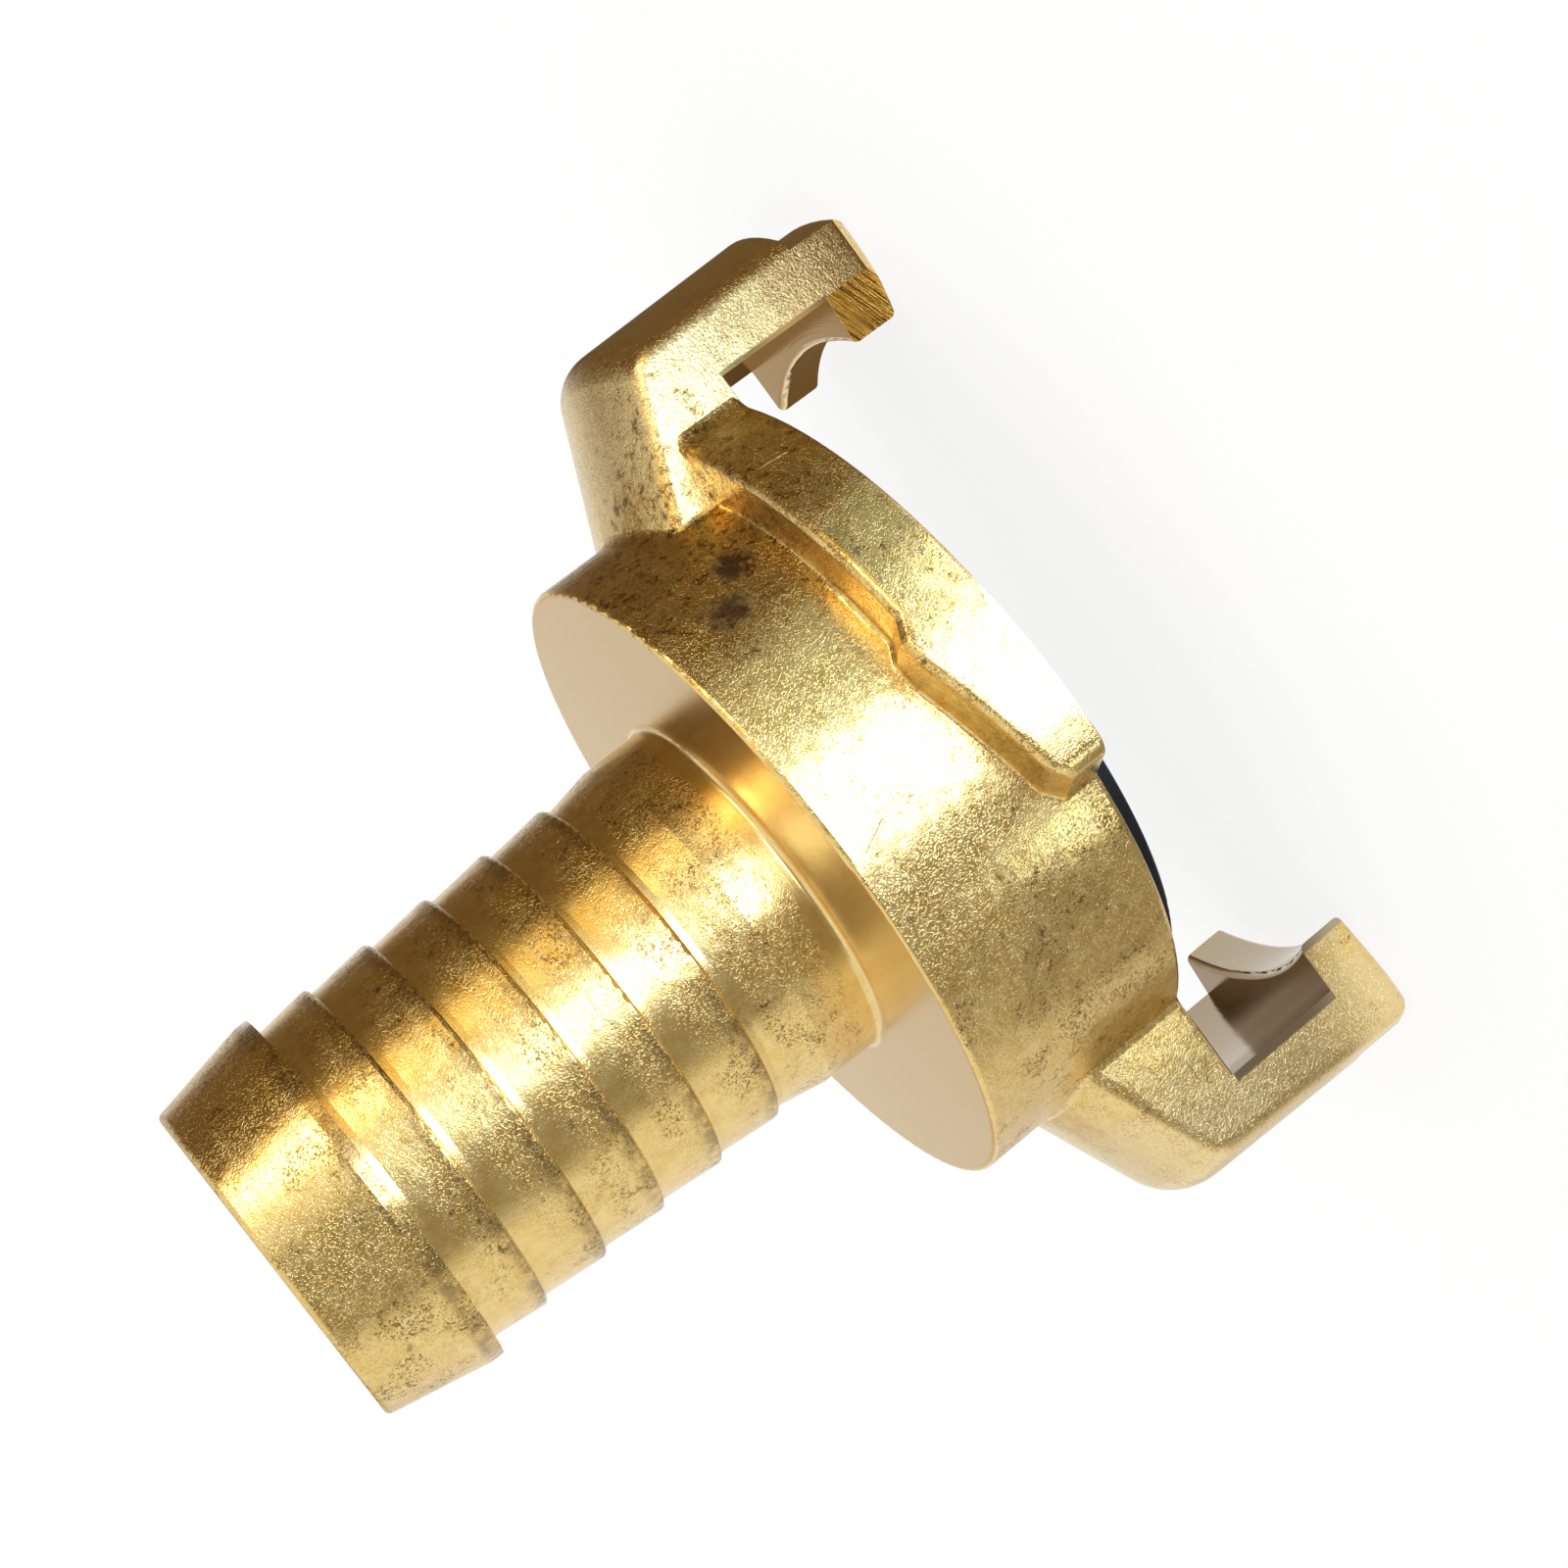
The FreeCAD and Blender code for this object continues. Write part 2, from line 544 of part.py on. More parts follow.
turned(body, "Seal_seat", [
    (0, HEAD_FRONT),
    (f"{SEAT_RADIUS} + seat_chamfer", HEAD_FRONT),
    (SEAT_RADIUS, f"{HEAD_FRONT} + seat_chamfer"),
    (SEAT_RADIUS, f"{SEAT_FLOOR} - groove_height"),
    (GROOVE_RADIUS, f"{SEAT_FLOOR} - groove_height"),
    (GROOVE_RADIUS, SEAT_FLOOR),
    (0, SEAT_FLOOR),
], cut=True)
turned(body, "Waterway", [
    (0, SEAT_FLOOR),
    ("waterway_diameter / 2 + waterway_chamfer", SEAT_FLOOR),
    ("waterway_diameter / 2", f"{SEAT_FLOOR} + waterway_chamfer"),
    ("waterway_diameter / 2", f"{TAIL_END} - waterway_chamfer"),
    ("waterway_diameter / 2 + waterway_chamfer", TAIL_END),
    (0, TAIL_END),
], cut=True)

# Seal: rubber ring with a bead at its back and a lip at its front, in its own frame from its front face up
seal = new_body("SealRing", "seal_ring")
SEAL_RADIUS = f"{SEAT_RADIUS} - seal_clearance"
SEAL_HEIGHT = "(seat_depth + seal_protrusion)"
turned(seal, "Seal_section", [
    ("lip_diameter / 2", 0),
    (SEAL_RADIUS, 0),
    (SEAL_RADIUS, f"{SEAL_HEIGHT} - groove_height + seal_clearance"),
    (f"{GROOVE_RADIUS} - seal_clearance", f"{SEAL_HEIGHT} - groove_height + seal_clearance"),
    (f"{GROOVE_RADIUS} - seal_clearance", SEAL_HEIGHT),
    ("seal_bore_diameter / 2", SEAL_HEIGHT),
    ("seal_bore_diameter / 2", "lip_height + pocket_height"),
    ("pocket_diameter / 2", "lip_height + pocket_height / 2"),
    ("lip_diameter / 2", "lip_height"),
])
rounded(seal, "Seal_edge",
        lambda edge: on_radius(edge, SEAL_RADIUS) and at_height(edge, 0), "seal_edge_radius")
seal.setExpression("Placement.Base.z", bound(f"{HEAD_FRONT} - seal_protrusion"))
doc.recompute()

for item in doc.Objects:
    if "Invalid" in item.State or "Error" in item.State:
        raise RuntimeError(f"{item.Name} failed: {item.State}")
os.makedirs("parts", exist_ok=True)
for piece in (body, seal):
    if piece.Shape.isNull() or not piece.Shape.isValid():
        raise RuntimeError(f"{piece.Label} has no valid shape")
    piece.Shape.exportStep(f"parts/{piece.Label}.step")
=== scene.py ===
import json
import math

import bpy
from mathutils import Matrix, Vector

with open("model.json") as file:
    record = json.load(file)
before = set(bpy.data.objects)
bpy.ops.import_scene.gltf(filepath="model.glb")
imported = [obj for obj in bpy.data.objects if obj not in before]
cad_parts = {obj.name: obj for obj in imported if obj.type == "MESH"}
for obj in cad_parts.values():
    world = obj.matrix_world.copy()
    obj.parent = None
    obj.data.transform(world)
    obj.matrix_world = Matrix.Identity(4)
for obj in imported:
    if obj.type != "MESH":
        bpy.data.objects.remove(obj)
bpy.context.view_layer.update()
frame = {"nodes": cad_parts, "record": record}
bpy.ops.object.select_all(action="DESELECT")

# Brass body: one hot forging with its claws, locking ridges and hose tail. It was tumbled after trimming,
# which left small dents, strokes and dirt on all that stands proud, and then turned on its back face, in its
# slots and on its noses. Lengths are in mm, and the fineness of a texture is in grains for each mm.
MM = 0.001
SOFT = 0.1
TUMBLED = (0.78, 0.54, 0.185, 1.0)
PALE = (0.84, 0.63, 0.26, 1.0)
CLEAN = (0.86, 0.69, 0.36, 1.0)
TURNED = (0.82, 0.63, 0.33, 1.0)
# Painted reflection: the warm golden orange in which the milled flat shows
PAINTED_MILLED_REFLECTION = (0.82, 0.48, 0.10, 1.0)
OLIVE = (0.48, 0.31, 0.085, 1.0)
# Painted shade for the slots under the hooks
SLOT_PAINTED_SHADE = (0.52, 0.35, 0.14, 1.0)
# Painted shade: a darker grey-brown laid on the lower claw's slot and nose only
PAINTED_SHADE_GREY = (0.40, 0.33, 0.24, 1.0)
PATINA = (0.15, 0.07, 0.018, 1.0)
STAIN = (0.055, 0.018, 0.010, 1.0)
body = frame["nodes"]["coupling_body"]
mounts = {mount["name"]: mount for mount in frame["record"]["mounts"]}
head_front = mounts["claw_coupling"]["pos_m"][2] / MM
head_back = mounts["hose_stop"]["pos_m"][2] / MM
end_crest = mounts["hose_tail"]["pos_m"][2] / MM - mounts["hose_tail"]["dims"]["length_mm"] / 2


def new_node(tree, kind, **settings):
    """A shader node with its properties and plain input values set by name."""
    node = tree.nodes.new(kind)
    for name, value in settings.items():
        if hasattr(node, name):
            setattr(node, name, value)
        else:
            node.inputs[name.replace("_", " ")].default_value = value
    return node


def feed(tree, socket, value):
    """A link where the value is a socket, and otherwise a plain number or colour."""
    if isinstance(value, bpy.types.NodeSocket):
        tree.links.new(value, socket)
    else:
        socket.default_value = value


def sums(tree, operation, *values, clamp=False):
    """One step of arithmetic on numbers or sockets."""
    node = new_node(tree, "ShaderNodeMath", operation=operation, use_clamp=clamp)
    for socket, value in zip(node.inputs, values):
        feed(tree, socket, value)
    return node.outputs[0]


def both(tree, *masks):
    """Where all of the masks are, as their product."""
    mask = masks[0]
    for other in masks[1:]:
        mask = sums(tree, "MULTIPLY", mask, other)
    return mask


def either(tree, *masks):
    """Where any of the masks is."""
    mask = masks[0]
    for other in masks[1:]:
        mask = sums(tree, "MAXIMUM", mask, other)
    return mask


def vectors(tree, operation, *values):
    """One step of arithmetic on vectors."""
    node = new_node(tree, "ShaderNodeVectorMath", operation=operation)
    for socket, value in zip(node.inputs, values):
        feed(tree, socket, value)
    return node.outputs["Value" if operation in ("DISTANCE", "DOT_PRODUCT") else "Vector"]


def scaled(tree, vector, factor):
    """A vector times a number."""
    node = new_node(tree, "ShaderNodeVectorMath", operation="SCALE")
    feed(tree, node.inputs[0], vector)
    feed(tree, node.inputs["Scale"], factor)
    return node.outputs[0]


def tint(tree, share, low, high):
    """One colour at a share of 0, the other at 1."""
    node = new_node(tree, "ShaderNodeMix", data_type="RGBA")
    for socket, value in zip((node.inputs[0], node.inputs[6], node.inputs[7]), (share, low, high)):
        feed(tree, socket, value)
    return node.outputs[2]


def ramp(tree, value, start, end, low=0.0, high=1.0):
    """A soft step from low to high between start and end."""
    node = new_node(tree, "ShaderNodeMapRange", interpolation_type="SMOOTHSTEP")
    for socket, number in zip(node.inputs, (value, start, end, low, high)):
        feed(tree, socket, number)
    return node.outputs[0]


def above(tree, value, edge, soft=SOFT):
    """Where a value is past an edge, which starts to show a soft length before it."""
    return ramp(tree, value, edge - soft, edge)


def below(tree, value, edge, soft=SOFT):
    """Where a value is short of an edge, in full from a soft length before it."""
    return ramp(tree, value, edge, edge - soft)


def faded(tree, mask, first, other=1.0):
    """A number that goes from the first where the mask is 0 to the other where it is 1."""
    return ramp(tree, mask, 0.0, 1.0, first, other)


def noise(tree, place, fineness, detail=2.0, rough=0.5):
    """Cloudy noise from 0 to 1."""
    node = new_node(tree, "ShaderNodeTexNoise", Scale=fineness, Detail=detail, Roughness=rough)
    feed(tree, node.inputs["Vector"], place)
    return node.outputs["Fac"]


def bump(tree, height, depth, share=1.0, normal=None):
    """A raised height of 1 stands as many millimetres proud as the depth says, where the share is 1."""
    node = new_node(tree, "ShaderNodeBump", Distance=depth * MM)
    feed(tree, node.inputs["Height"], height)
    feed(tree, node.inputs["Strength"], share)
    if normal is not None:
        tree.links.new(normal, node.inputs["Normal"])
    return node.outputs[0]


def place_on(tree):
    """Position on the piece in millimetres."""
    coordinates = new_node(tree, "ShaderNodeTexCoord")
    return scaled(tree, coordinates.outputs["Object"], 1 / MM)


def parts_of(tree, place):
    """The three parts of a position, and its distance from the upright axis."""
    parts = new_node(tree, "ShaderNodeSeparateXYZ")
    tree.links.new(place, parts.inputs[0])
    across, along, up = parts.outputs
    squares = sums(tree, "ADD", both(tree, across, across), both(tree, along, along))
    return across, along, up, sums(tree, "SQRT", squares)


brass = bpy.data.materials.new("tumbled_brass")
brass.use_nodes = True
tree = brass.node_tree
shader = tree.nodes["Principled BSDF"]
place = place_on(tree)
across, along, up, reach = parts_of(tree, place)
sideways = sums(tree, "ABSOLUTE", across)

# The turned back face of the head, and the bands that were turned at the neck's root and between the barbs
BACK_FACE_DEPTH = 0.16
BACK_FACE_RIM = 17.9
BACK_FACE_FADE = 0.2
NECK_ROOT_TOP = 1.6
NECK_ROOT_FADE = 0.9
TOOTH_ROOT = 9.42
TOOTH_FADE = 0.14
TOOTH_SHARE = 0.7
TAIL_START = 26.0
TAIL_FADE = 2.0
from_back = sums(tree, "ABSOLUTE", sums(tree, "SUBTRACT", up, head_back))
back_face = both(tree, below(tree, from_back, BACK_FACE_DEPTH),
                 below(tree, reach, BACK_FACE_RIM, BACK_FACE_FADE))
neck_root = both(tree, below(tree, up, head_back + NECK_ROOT_TOP, NECK_ROOT_FADE),
                 above(tree, up, head_back, BACK_FACE_FADE))
tooth_root = both(tree, below(tree, reach, TOOTH_ROOT, TOOTH_FADE), TOOTH_SHARE,
                  above(tree, up, TAIL_START, TAIL_FADE), below(tree, up, end_crest))

# The turned slots and noses of the claws
HOOK_BACK = 3.27
SLOT_WALL = 22.95
SLOT_FADE = 0.15
NOSE_FACE = 20.2
NOSE_FADE = 0.2
hook = below(tree, up, HOOK_BACK)
in_slot = both(tree, above(tree, up, HOOK_BACK), below(tree, up, head_front + SOFT),
               below(tree, reach, SLOT_WALL, SLOT_FADE))
nose_face = both(tree, hook, below(tree, reach, NOSE_FACE + NOSE_FADE, NOSE_FADE))

# The flat that was milled on one flank of each nose, turned in from the claw's side
FLANK_START = 21.41
FLANK_SIDE = 7.8
FLANK_ANGLE = math.radians(12)
FLANK_DEPTH = 0.12
FLANK_FADE = 0.06
flank_side = sums(tree, "ADD", both(tree, along, sums(tree, "SIGN", across)), FLANK_SIDE)
flank_way = sums(tree, "SUBTRACT", FLANK_START, sideways)
from_flank = sums(tree, "SUBTRACT", both(tree, flank_side, math.cos(FLANK_ANGLE)),
                  both(tree, flank_way, math.sin(FLANK_ANGLE)))
milled = both(tree, below(tree, sums(tree, "ABSOLUTE", from_flank), FLANK_DEPTH, FLANK_FADE), hook,
              below(tree, sideways, FLANK_START + SOFT / 2))
turned = either(tree, back_face, in_slot, nose_face, tooth_root, neck_root, milled)
tumbled = sums(tree, "SUBTRACT", 1.0, turned, clamp=True)

# Marks of the tumbling: soft dents, short strokes every way and dirt that stayed in the hollows. A texture
# has its fineness, its detail and its roughness, and a stroke its turn, length, fineness and rarity.
DENTS = (0.8, 2.0, 0.5)
GRAIN = (8.0, 3.0, 0.65)
PATCHES = (0.33, 3.0, 0.65)
MOTTLE = (1.1, 4.0, 0.7)
SPECKS = (5.0, 3.0, 0.7)
DIRT = (1.7, 7.0, 0.80)
STROKES = (((0.3, 0.9, 0.5), 2.6, 9.0, 0.59),
           ((1.2, 0.2, 2.1), 2.2, 8.0, 0.60),
           ((0.7, 2.4, 1.3), 3.0, 10.0, 0.59))
STROKE_FADE = 0.10
PATCH_RANGE = (0.46, 0.60)
SPECK_RANGE = (0.54, 0.62)
DIRT_RANGE = (0.55, 0.61)
SOILED_SPOT = Vector((16.5, -8.5, 17.0))
SOILED_SIZE = 7.0
SOILED_DIRT = 0.035
RAGGED = 3


def strokes(tree, place, turn, length, fineness, rare):
    """Short marks that lie one way, and that grow fewer as rare goes up."""
    mapping = new_node(tree, "ShaderNodeMapping", vector_type="TEXTURE", Rotation=turn,
                       Scale=(length, 1.0, 1.0))
    tree.links.new(place, mapping.inputs["Vector"])
    return ramp(tree, noise(tree, mapping.outputs[0], fineness, detail=1.0), rare, rare + STROKE_FADE)


def stain(tree, place, centre, size, edge):
    """A dark patch with a ragged edge."""
    off = vectors(tree, "DISTANCE", place, centre)
    ragged = both(tree, sums(tree, "SUBTRACT", edge, 0.5), size * RAGGED)
    return ramp(tree, sums(tree, "ADD", off, ragged), size * 1.5, size * 0.5)


dents = noise(tree, place, *DENTS)
grain = noise(tree, place, *GRAIN)
marks = either(tree, *[strokes(tree, place, *stroke) for stroke in STROKES])
patches = ramp(tree, noise(tree, place, *PATCHES), *PATCH_RANGE)
mottle = noise(tree, place, *MOTTLE)
specks = ramp(tree, noise(tree, place, *SPECKS), *SPECK_RANGE)
soiled = stain(tree, place, SOILED_SPOT, SOILED_SIZE, mottle)
crumbs = sums(tree, "ADD", noise(tree, place, *DIRT), both(tree, soiled, SOILED_DIRT))
dirt = ramp(tree, crumbs, *DIRT_RANGE)

# The claws and the walls of the ridges, which the tumbling rubbed clean
CLAW_RANGE = (20.5, 24.0)
CLAW_RAGGED = 5.0
RIDGE_FOOT = 18.35
RIDGE_TOP = 20.95
RIDGE_FADE = 0.2
claws = ramp(tree, sums(tree, "ADD", sideways, both(tree, mottle, CLAW_RAGGED)), *CLAW_RANGE)
ridge_wall = both(tree, above(tree, reach, RIDGE_FOOT, RIDGE_FADE),
                  below(tree, reach, RIDGE_TOP, RIDGE_FADE))
bare = either(tree, claws, ridge_wall)

# Circles that the lathe left
CIRCLES = (7.0, 3.0, 0.7)
rings = new_node(tree, "ShaderNodeCombineXYZ")
tree.links.new(reach, rings.inputs["X"])
tree.links.new(up, rings.inputs["Z"])
circles = noise(tree, rings.outputs[0], *CIRCLES)

# Lines that the cutter left, which lean over
CUTTER = (1.0, 3.0, 0.7)
CUTTER_LEAN = 0.45
CUTTER_ALONG = 0.2
CUTTER_ACROSS = 7.0
CUTTER_RANGE = (0.48, 0.58)
cut = new_node(tree, "ShaderNodeCombineXYZ")
lean = sums(tree, "SUBTRACT", up, both(tree, sideways, CUTTER_LEAN))
tree.links.new(both(tree, across, CUTTER_ALONG), cut.inputs["X"])
tree.links.new(both(tree, lean, CUTTER_ACROSS), cut.inputs["Z"])
cutter = noise(tree, cut.outputs[0], *CUTTER)

# Single marks that the photograph shows: two stains, each with its place and size, and three scratches, each
# with its ends and width
STAIN_EDGE = (2.2, 6.0, 0.8)
STAINS = (((13.73, -11.86, 16.38), 0.90),
          ((12.18, -13.45, 18.05), 1.0))
SCRATCHES = (((16.55, -13.16, 12.83), (16.40, -13.34, 11.41), 0.10),
             ((-9.21, -15.63, 16.78), (-11.25, -14.23, 19.46), 0.10),
             ((0.79, -18.13, 19.52), (0.10, -18.15, 20.90), 0.12))


def scratch(tree, place, start, end, width):
    """A straight scratch between two points on the surface."""
    line = Vector(end) - Vector(start)
    from_start = vectors(tree, "SUBTRACT", place, Vector(start))
    along_line = vectors(tree, "DOT_PRODUCT", from_start, line)
    share = sums(tree, "DIVIDE", along_line, line.length_squared, clamp=True)
    off = vectors(tree, "DISTANCE", from_start, scaled(tree, line, share))
    return ramp(tree, off, width, width / 3)


edge = noise(tree, place, *STAIN_EDGE)
stains = either(tree, *[stain(tree, place, Vector(centre), size, edge) for centre, size in STAINS])
scratches = either(tree, *[scratch(tree, place, *ends) for ends in SCRATCHES])

# Dark crests of the barbs, where the hose wore them
CREST_FADE = 0.10
SMALL_CREST = 9.56
END_CREST = 10.08
BARBS_START = 28.2
BARBS_FADE = 0.2
SMALL_BARBS_END = 0.6
SMALL_BARBS_FADE = 0.4
MOTTLE_CREST = (0.35, 0.60)
small_barbs = below(tree, up, end_crest - SMALL_BARBS_END, SMALL_BARBS_FADE)
teeth = both(tree, above(tree, reach, SMALL_CREST, CREST_FADE), small_barbs)
crest = both(tree, either(tree, teeth, above(tree, reach, END_CREST, CREST_FADE)),
             above(tree, up, BARBS_START, BARBS_FADE), ramp(tree, mottle, *MOTTLE_CREST))

# Colour, from the bare metal up to the single marks
MOTTLE_COLOUR = (0.35, 0.65)
LOWER_CLAW = (1.0, -1.0)
LEAST_WORN = 0.12
BARE_WORN = 0.35
CLEAN_SHARE = 0.6
SPECK_SHARE = 0.60
DIRT_SHARE = 0.80
MARK_SHARE = 0.75
PAINTED_SHADE_SHARE = 0.85
CUTTER_SHARE = 0.8
CREST_SHARE = 0.6
STAIN_SHARE = 0.88
SCRATCH_SHARE = 0.7
worn = both(tree, tumbled, faded(tree, patches, LEAST_WORN), faded(tree, bare, 1.0, BARE_WORN))
# Painted shade on the lower claw's slot and nose, which the upper claw's same surfaces don't get
lower_claw_painted_shade = both(tree, either(tree, in_slot, nose_face), ramp(tree, across, *LOWER_CLAW))
cutter_lines = both(tree, milled, ramp(tree, cutter, *CUTTER_RANGE))
colour = tint(tree, ramp(tree, mottle, *MOTTLE_COLOUR), TUMBLED, PALE)
colour = tint(tree, both(tree, claws, CLEAN_SHARE), colour, CLEAN)
colour = tint(tree, both(tree, worn, specks, SPECK_SHARE), colour, OLIVE)
colour = tint(tree, both(tree, either(tree, worn, soiled), dirt, DIRT_SHARE), colour, PATINA)
colour = tint(tree, both(tree, worn, marks, MARK_SHARE), colour, PATINA)
colour = tint(tree, either(tree, back_face, nose_face), colour, TURNED)
# Painted shade: the slots under the hooks are coloured darker
colour = tint(tree, in_slot, colour, SLOT_PAINTED_SHADE)
colour = tint(tree, both(tree, lower_claw_painted_shade, PAINTED_SHADE_SHARE), colour, PAINTED_SHADE_GREY)
# Painted reflection: the milled flat is coloured the golden orange it reflects
colour = tint(tree, milled, colour, PAINTED_MILLED_REFLECTION)
colour = tint(tree, both(tree, cutter_lines, CUTTER_SHARE), colour, PATINA)
colour = tint(tree, both(tree, crest, CREST_SHARE), colour, PATINA)
colour = tint(tree, both(tree, stains, STAIN_SHARE), colour, STAIN)
colour = tint(tree, both(tree, scratches, SCRATCH_SHARE), colour, PALE)
tree.links.new(colour, shader.inputs["Base Color"])

# Roughness, least where the metal was turned
GLOSS = 0.15
MOTTLE_GLOSS = (0.3, 0.7, 0.01, 0.09)
ROOT_GLOSS = 0.09
MARK_GLOSS = 0.14
STAIN_GLOSS = 0.25
gloss = sums(tree, "ADD", GLOSS, both(tree, tumbled, ramp(tree, mottle, *MOTTLE_GLOSS)))
for rough in (both(tree, either(tree, tooth_root, neck_root), ROOT_GLOSS),
              both(tree, worn, either(tree, marks, specks), MARK_GLOSS),
              both(tree, stains, STAIN_GLOSS)):
    gloss = sums(tree, "ADD", gloss, rough)
tree.links.new(gloss, shader.inputs["Roughness"])

# Relief, in mm: dents and grain stand proud, strokes and scratches are cut in
DENT_DEPTH = 0.040
STROKE_DEPTH = -0.010
GRAIN_DEPTH = 0.024
CIRCLE_DEPTH = 0.006
CUTTER_DEPTH = 0.08
SCRATCH_DEPTH = -0.03
BARE_DENTS = 0.8
HEAD_GRAIN = 0.33
skin = bump(tree, dents, DENT_DEPTH, both(tree, tumbled, faded(tree, bare, 1.0, BARE_DENTS)))
skin = bump(tree, marks, STROKE_DEPTH, tumbled, skin)
skin = bump(tree, grain, GRAIN_DEPTH, both(tree, tumbled, faded(tree, claws, HEAD_GRAIN)), skin)
skin = bump(tree, circles, CIRCLE_DEPTH, turned, skin)
skin = bump(tree, cutter, CUTTER_DEPTH, milled, skin)
skin = bump(tree, scratches, SCRATCH_DEPTH, normal=skin)
tree.links.new(skin, shader.inputs["Normal"])
shader.inputs["Metallic"].default_value = 1.0
body.data.materials[0] = brass

# Seal: a ring of black rubber, moulded, with a dull and slightly grained skin. It is pressed into the recess
# of the head's front, and only its edge shows past the rim.
RUBBER_DARK = (0.008, 0.007, 0.009, 1.0)
RUBBER_PALE = (0.018, 0.016, 0.018, 1.0)
BLOOM = (0.8, 4.0, 0.6)
BLOOM_COLOUR = (0.4, 0.7)
BLOOM_GLOSS = (0.3, 0.7, 0.60, 0.75)
RUBBER_SHINE = 0.3
RUBBER_GRAIN = 9.0
RUBBER_DEPTH = 0.01
seal = frame["nodes"]["seal_ring"]
rubber = bpy.data.materials.new("seal_rubber")
rubber.use_nodes = True
tree = rubber.node_tree
shader = tree.nodes["Principled BSDF"]
place = place_on(tree)
bloom = noise(tree, place, *BLOOM)
colour = tint(tree, ramp(tree, bloom, *BLOOM_COLOUR), RUBBER_DARK, RUBBER_PALE)
tree.links.new(colour, shader.inputs["Base Color"])
tree.links.new(ramp(tree, bloom, *BLOOM_GLOSS), shader.inputs["Roughness"])
shader.inputs["Specular IOR Level"].default_value = RUBBER_SHINE
tree.links.new(bump(tree, noise(tree, place, RUBBER_GRAIN), RUBBER_DEPTH), shader.inputs["Normal"])
seal.data.materials[0] = rubber

# Floor and sky: a pale, matt sheet under an even white sky. The sheet shows as white to the camera and in the
# brass, and keeps the object's soft shadow.
FLOOR_SIZE = 6.0
FLOOR_TONE = 0.14
WHITE = (1.0, 1.0, 1.0, 1.0)
bpy.ops.mesh.primitive_plane_add(size=FLOOR_SIZE)
floor = bpy.context.object
floor.name = "floor"
paint = bpy.data.materials.new("floor_paint")
paint.use_nodes = True
tree = paint.node_tree
shader = tree.nodes["Principled BSDF"]
shader.inputs["Base Color"].default_value = (FLOOR_TONE, FLOOR_TONE, FLOOR_TONE, 1.0)
shader.inputs["Roughness"].default_value = 1.0
shader.inputs["Specular IOR Level"].default_value = 0.0
rays = new_node(tree, "ShaderNodeLightPath").outputs
seen = either(tree, rays["Is Camera Ray"], rays["Is Glossy Ray"], rays["Is Transmission Ray"])
shader.inputs["Emission Color"].default_value = WHITE
tree.links.new(both(tree, seen, 1 - FLOOR_TONE), shader.inputs["Emission Strength"])
floor.data.materials.append(paint)

world = bpy.data.worlds.new("white_sky")
bpy.context.scene.world = world
world.use_nodes = True
world.node_tree.nodes["Background"].inputs["Color"].default_value = WHITE

# Cards: sheets of the studio that lie round the object and then stand up, and that only the brass shows.
# Azimuths run from +Y towards +X and elevations are seen from half the object's height, both in degrees. A
# later card lies in front of an earlier one.
CARD_REACH = 0.260
CARD_GAP = 0.004
CARD_RISE = 0.0006
CARD_STEP = 0.0004
CARD_CORNER = 0.05
CORNER_STEPS = 8
SPIN_STEPS = 24
EYE = 30.0
UNDER = 0.006
BESIDE = 0.030
BROWN = (1.0, 0.64, 0.30, 1.0)
BEIGE = (1.0, 0.92, 0.78, 1.0)
PAPER = (1.0, 0.97, 0.94, 1.0)
SAND = (1.0, 0.92, 0.80, 1.0)
ROSE = (1.0, 0.90, 0.82, 1.0)
MINT = (0.80, 1.0, 1.05, 1.0)
DAYLIGHT = (0.85, 1.0, 1.30, 1.0)
COOL = (0.85, 1.0, 1.20, 1.0)
GOLD = (1.0, 0.74, 0.28, 1.0)
LAMP = (1.0, 0.96, 0.90, 1.0)
# Name, azimuths, elevations, width of the soft edge, colour, strength and inner radius
CARDS = (
    ("dark_card", (18, 136), (-88, 52), 18, BROWN, 0.17, UNDER),
    ("grey_card", (-200, -112), (-88, 46), 16, BEIGE, 0.34, UNDER),
    ("paper_card", (-112, 24), (-88, -4), 14, PAPER, 0.80, BESIDE),
    ("shade_card", (-150, -96), (-88, -10), 10, SAND, 0.34, BESIDE),
    ("room_card", (-44, 24), (4, 46), 8, ROSE, 0.66, BESIDE),
    ("side_card", (116, 170), (-88, -9), 12, MINT, 0.50, BESIDE),
    ("white_card", (155, 188), (-88, 9), 8, DAYLIGHT, 9.0, UNDER),
    ("claw_card", (-156, -144), (-36, -27), 3, COOL, 5.0, BESIDE),
    ("knee_card", (141, 158), (-46, -31), 5, COOL, 5.0, BESIDE),
    ("warm_card", (110, 148), (-11, 70), 8, GOLD, 1.25, BESIDE),
    ("lamp_card", (118, 144), (12, 34), 6, LAMP, 6.5, BESIDE),
)


def card_profile(layer, inner, top):
    """Distances from the axis and heights of a card that ends where it is seen at the top elevation."""
    def ceiling(distance):
        return EYE * MM + distance * math.tan(math.radians(top))

    outer = CARD_REACH - CARD_GAP * layer
    rise = CARD_RISE + CARD_STEP * layer
    steps = []
    for step in range(CORNER_STEPS + 1):
        angle = math.radians(90 * step / CORNER_STEPS)
        steps.append((outer - CARD_CORNER + CARD_CORNER * math.sin(angle),
                      rise + CARD_CORNER - CARD_CORNER * math.cos(angle)))
    steps = [(distance, height) for distance, height in steps if height < ceiling(distance)]
    if not steps:
        steps.append((EYE * MM / math.tan(math.radians(-top)), rise))
    elif top > 0:
        steps.append((outer, ceiling(outer)))
    return [(inner, rise)] + steps


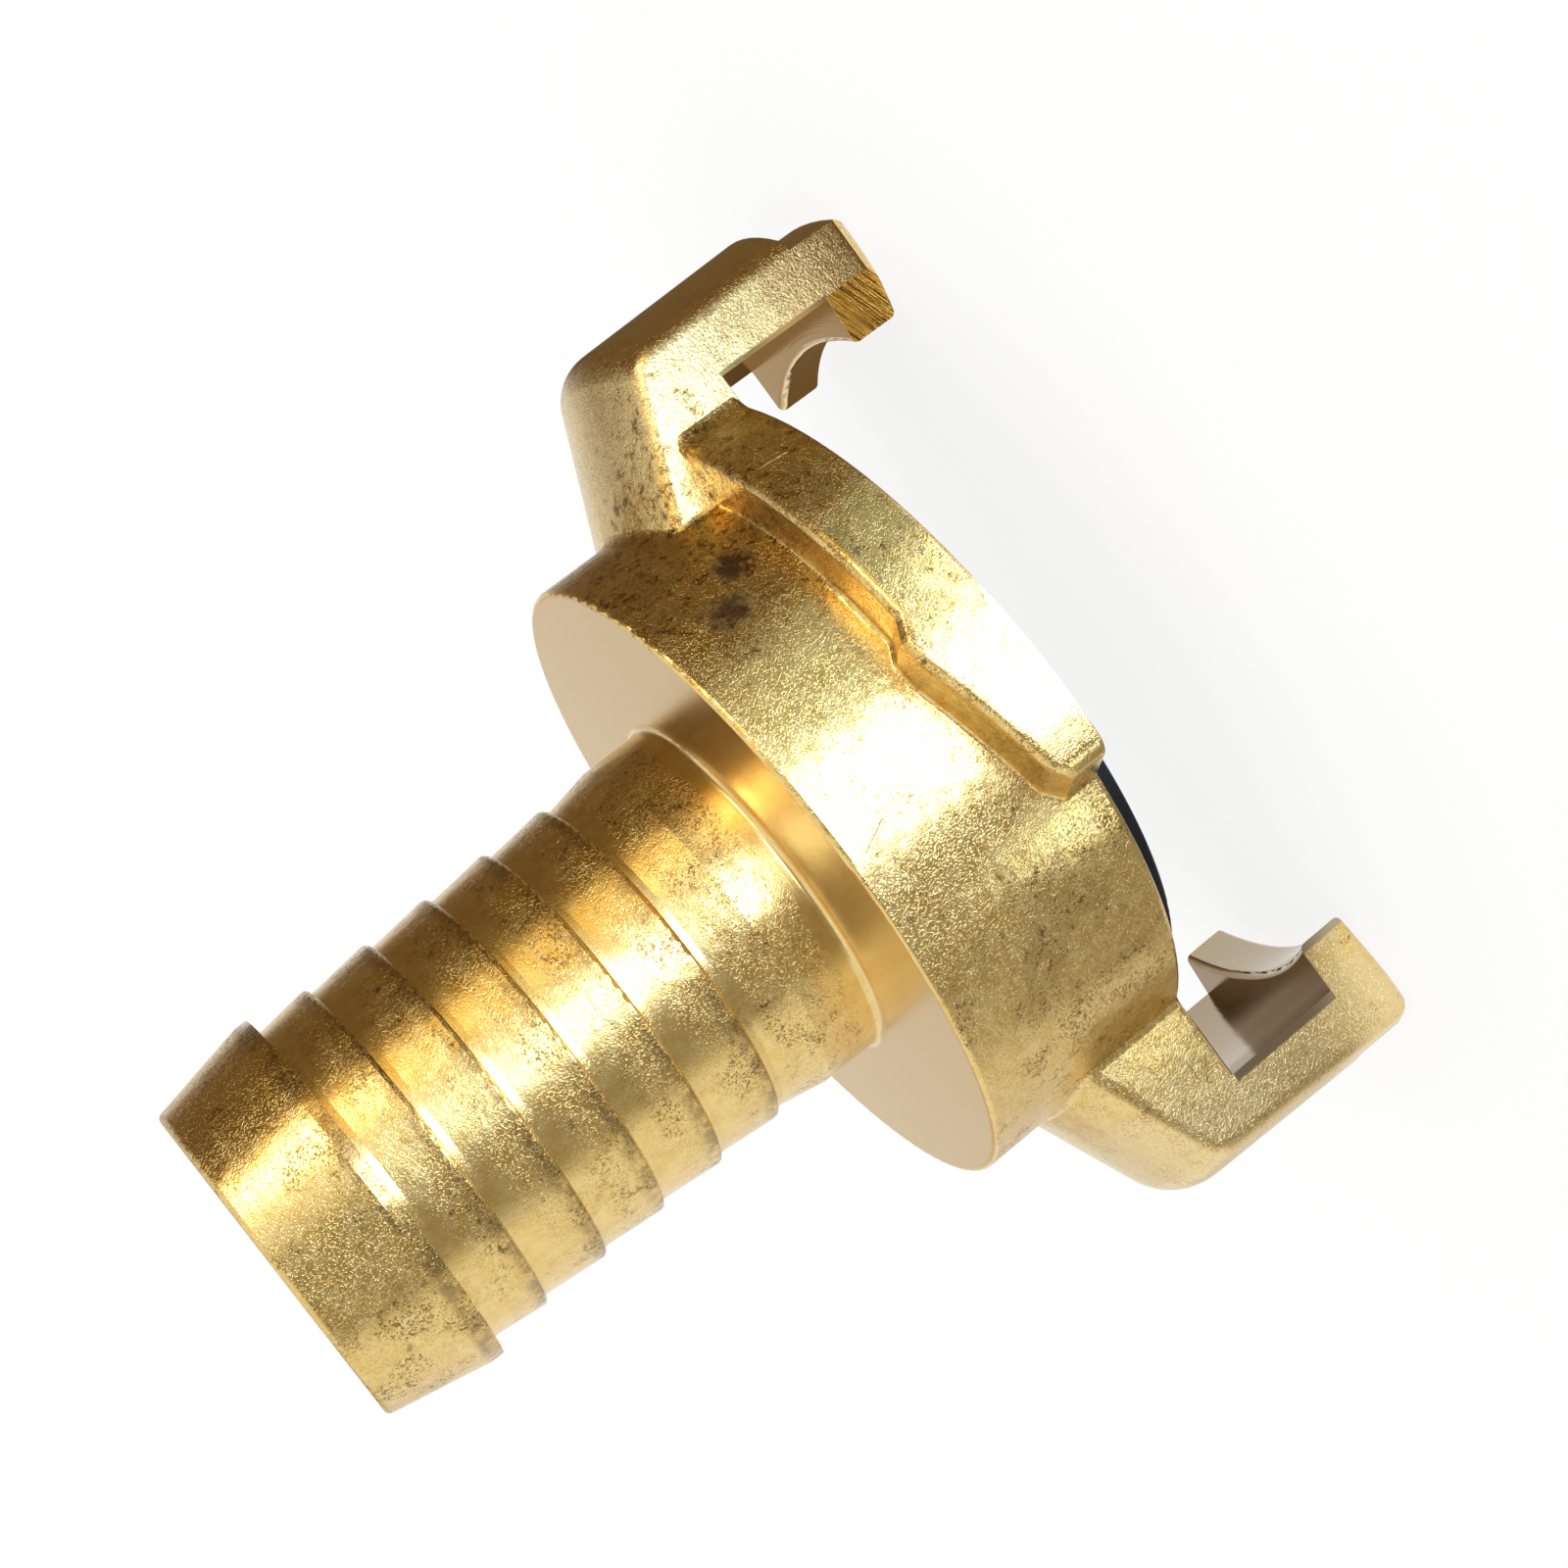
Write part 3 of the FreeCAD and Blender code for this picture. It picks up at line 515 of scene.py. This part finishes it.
def card_material(name, azimuths, elevations, soft, colour, strength):
    """Light between the azimuths and elevations, and nothing elsewhere."""
    start, end = [math.radians(azimuth) for azimuth in azimuths]
    bottom, top = [math.radians(elevation) for elevation in elevations]
    soft = math.radians(soft)
    finish = bpy.data.materials.new(name)
    finish.use_nodes = True
    tree = finish.node_tree
    tree.nodes.remove(tree.nodes["Principled BSDF"])
    across, along, up, reach = parts_of(tree, place_on(tree))
    azimuth = sums(tree, "ARCTAN2", across, along)
    elevation = sums(tree, "ARCTAN2", sums(tree, "SUBTRACT", up, EYE), reach)
    offset = sums(tree, "WRAP", sums(tree, "SUBTRACT", azimuth, (start + end) / 2), math.pi, -math.pi)
    lit = both(tree, below(tree, sums(tree, "ABSOLUTE", offset), (end - start) / 2, soft),
               below(tree, elevation, top, soft), above(tree, elevation, bottom + soft, soft))
    light = new_node(tree, "ShaderNodeEmission", Color=colour, Strength=strength)
    clear = new_node(tree, "ShaderNodeBsdfTransparent")
    mixed = new_node(tree, "ShaderNodeMixShader")
    for source, socket in zip((lit, clear.outputs[0], light.outputs[0]), mixed.inputs):
        tree.links.new(source, socket)
    tree.links.new(mixed.outputs[0], tree.nodes["Material Output"].inputs["Surface"])
    return finish


for layer, (name, azimuths, elevations, soft, colour, strength, inner) in enumerate(CARDS):
    start, end = [math.radians(azimuth) for azimuth in azimuths]
    points = [(distance * math.sin(start), distance * math.cos(start), height)
              for distance, height in card_profile(layer, inner, elevations[1])]
    mesh = bpy.data.meshes.new(name)
    mesh.from_pydata(points, [(index, index + 1) for index in range(len(points) - 1)], [])
    sheet = bpy.data.objects.new(name, mesh)
    bpy.context.collection.objects.link(sheet)
    bpy.ops.object.select_all(action="DESELECT")
    bpy.context.view_layer.objects.active = sheet
    sheet.select_set(True)
    bpy.ops.object.mode_set(mode="EDIT")
    bpy.ops.mesh.select_all(action="SELECT")
    bpy.ops.mesh.spin(steps=SPIN_STEPS, angle=end - start, center=(0, 0, 0), axis=(0, 0, 1))
    bpy.ops.object.mode_set(mode="OBJECT")
    sheet.visible_camera = False
    sheet.visible_diffuse = False
    sheet.visible_shadow = False
    sheet.visible_transmission = False
    sheet.data.materials.append(card_material(name, azimuths, elevations, soft, colour, strength))

# Camera: the photograph's own view, solved from the outlines of the head, the barbs and the claws. It stands
# close by, looks down past the tail at the head's back face, and is rolled far over.
CAMERA_PLACE = Vector((15.06, -136.36, 52.06)) * MM
CAMERA_AZIMUTH = -4.96
CAMERA_ELEVATION = -14.17
CAMERA_ROLL = -127.82
CAMERA_LENS = 64.07
CAMERA_CLIP = 0.01
azimuth = math.radians(CAMERA_AZIMUTH)
elevation = math.radians(CAMERA_ELEVATION)
forward = Vector((math.sin(azimuth) * math.cos(elevation), math.cos(azimuth) * math.cos(elevation),
                  math.sin(elevation)))
level = forward.to_track_quat("-Z", "Y").to_matrix().to_4x4()
camera = bpy.data.objects.new("camera", bpy.data.cameras.new("camera"))
camera.data.lens = CAMERA_LENS
camera.data.clip_start = CAMERA_CLIP
camera.matrix_world = (Matrix.Translation(CAMERA_PLACE) @ level
                       @ Matrix.Rotation(math.radians(CAMERA_ROLL), 4, "Z"))
bpy.context.collection.objects.link(camera)
bpy.context.scene.camera = camera
bpy.context.scene.view_settings.view_transform = "Standard"
